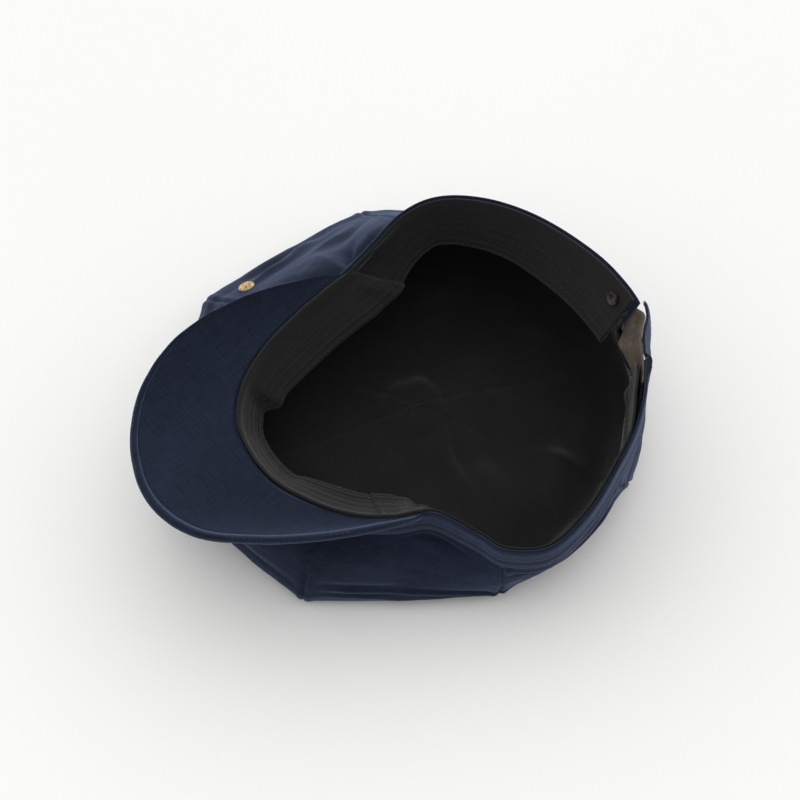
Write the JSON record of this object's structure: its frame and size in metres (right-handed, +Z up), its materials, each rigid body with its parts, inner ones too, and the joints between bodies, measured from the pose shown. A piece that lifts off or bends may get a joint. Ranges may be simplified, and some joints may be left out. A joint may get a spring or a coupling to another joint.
{
  "type": "newsboy cap",
  "caption": "Panelled newsboy cap with a stiffened visor, lined crown, loose sweatband, side stud and rear strap adjuster, stored upside down on its crown.",
  "frame": {"origin": "centre of the bounding box at the table surface", "axes": "+Z up with the cap upside down on its crown, -Y towards the visor, +Y towards the rear adjuster, +X the side the opening leans to"},
  "size_m": [0.2259, 0.2527, 0.0944],
  "materials": {
    "navy_cloth": "matt slubbed plain weave",
    "black_cotton": "matt twill",
    "fastener_tape": "hook and loop pile",
    "thread": "wound thread",
    "board": "plain sheet",
    "steel": "pressed",
    "tan_leather": "matt suede side",
    "aged_brass": "antiqued"
  },
  "bodies": {
    "crown": {"crown_panel_1": "navy_cloth", "lining_panel_1": "black_cotton", "crown_panel_2": "navy_cloth", "lining_panel_2": "black_cotton", "crown_panel_3": "navy_cloth", "lining_panel_3": "black_cotton", "crown_panel_4": "navy_cloth", "lining_panel_4": "black_cotton", "crown_panel_5": "navy_cloth", "lining_panel_5": "black_cotton", "crown_panel_6": "navy_cloth", "lining_panel_6": "black_cotton", "crown_panel_7": "navy_cloth", "lining_panel_7": "black_cotton", "crown_panel_8": "navy_cloth", "lining_panel_8": "black_cotton", "band_front": "navy_cloth", "band_right": "navy_cloth", "band_left": "navy_cloth", "button_cover": "navy_cloth", "sweatband": "black_cotton", "sweatband_binding": "black_cotton", "strap_loop_pad": "fastener_tape", "button_core": "steel", "button_shank": "thread", "leather_strap": "tan_leather", "stud_cap": "aged_brass", "stud_post": "aged_brass", "stud_washer": "aged_brass", "strap_rivet_cap": "aged_brass", "strap_rivet_post": "aged_brass", "strap_rivet_washer": "aged_brass"},
    "visor": {"visor_under_cover": "navy_cloth", "visor_board": "board", "visor_top_cover": "navy_cloth", "visor_piping": "navy_cloth"},
    "rear_tab": {"tab_cover": "navy_cloth", "tab_lining": "black_cotton", "tab_hook_pad": "fastener_tape"}
  },
  "joints": [
    {"name": "visor_tilt", "type": "hinge", "parent": "crown", "child": "visor", "pos_m": [0.01563, -0.00464, 0.06535], "axis": [-0.9916, 0.0187, 0.1281], "range_deg": [-3, 8]},
    {"name": "rear_tab_lift", "type": "hinge", "parent": "crown", "child": "rear_tab", "pos_m": [0.05929, 0.10859, 0.07704], "axis": [0, 0, -1], "range_deg": [-2.5, 60]}
  ]
}
